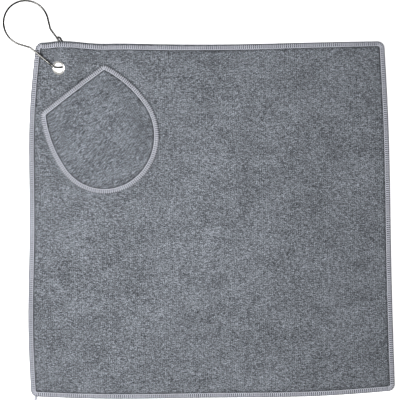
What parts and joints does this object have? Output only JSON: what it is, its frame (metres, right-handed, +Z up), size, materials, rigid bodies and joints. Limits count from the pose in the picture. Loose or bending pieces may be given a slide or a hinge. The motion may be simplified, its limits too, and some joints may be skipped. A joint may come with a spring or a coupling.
{
  "type": "golf towel",
  "caption": "Square microfibre golf towel with overlocked edges, a shield-shaped ball pocket by one corner, and a crimped eyelet carrying a sprung pear-shaped wire clip.",
  "frame": {"origin": "under the towel's middle, on the surface it lies on (the underside of the cloth)", "axes": "+Z up from the surface, +X along the towel's width, +Y towards the side beside the eyelet and the clip"},
  "size_m": [0.3345, 0.3409, 0.0111],
  "materials": {
    "microfibre": "heathered knit microfibre",
    "pocket_fabric": "heathered microfibre with brushed streaks",
    "thread": "soft overlock thread",
    "nickel": "polished nickel plate",
    "spring_wire": "polished steel wire"
  },
  "bodies": {
    "towel": {"towel_cloth": "microfibre", "towel_edge_upper_looper": "thread", "towel_edge_lower_looper": "thread", "towel_edge_needle_thread": "thread", "pocket_cloth": "pocket_fabric", "pocket_edge_upper_looper": "thread", "pocket_edge_lower_looper": "thread", "pocket_edge_needle_thread": "thread", "pocket_seam_needle_thread": "thread", "pocket_seam_bobbin_thread": "thread"},
    "eyelet_ring": {"eyelet": "nickel", "eyelet_washer": "nickel"},
    "clip": {"clip_hooked_leg": "spring_wire"},
    "clip_latch": {"clip_latch_leg": "spring_wire"}
  },
  "joints": [
    {"name": "clip_swivel", "type": "hinge", "parent": "towel", "child": "eyelet_ring", "pos_m": [-0.1319, 0.1302, 0.0045], "axis": [-0.394, -0.1922, 0.8988], "range_deg": [-6, 20]},
    {"name": "clip_flip", "type": "hinge", "parent": "eyelet_ring", "child": "clip", "pos_m": [-0.1319, 0.1302, 0.0045], "axis": [-0.6837, 0.7281, 0.0489], "range_deg": [0, 100]},
    {"name": "clip_latch", "type": "hinge", "parent": "clip", "child": "clip_latch", "pos_m": [-0.173, 0.18235, 0.00669], "axis": [-0.1966, -0.1193, -0.9732], "range_deg": [0, 4], "stiffness_Nm_per_rad": 1.5, "springref_deg": -3.44}
  ]
}
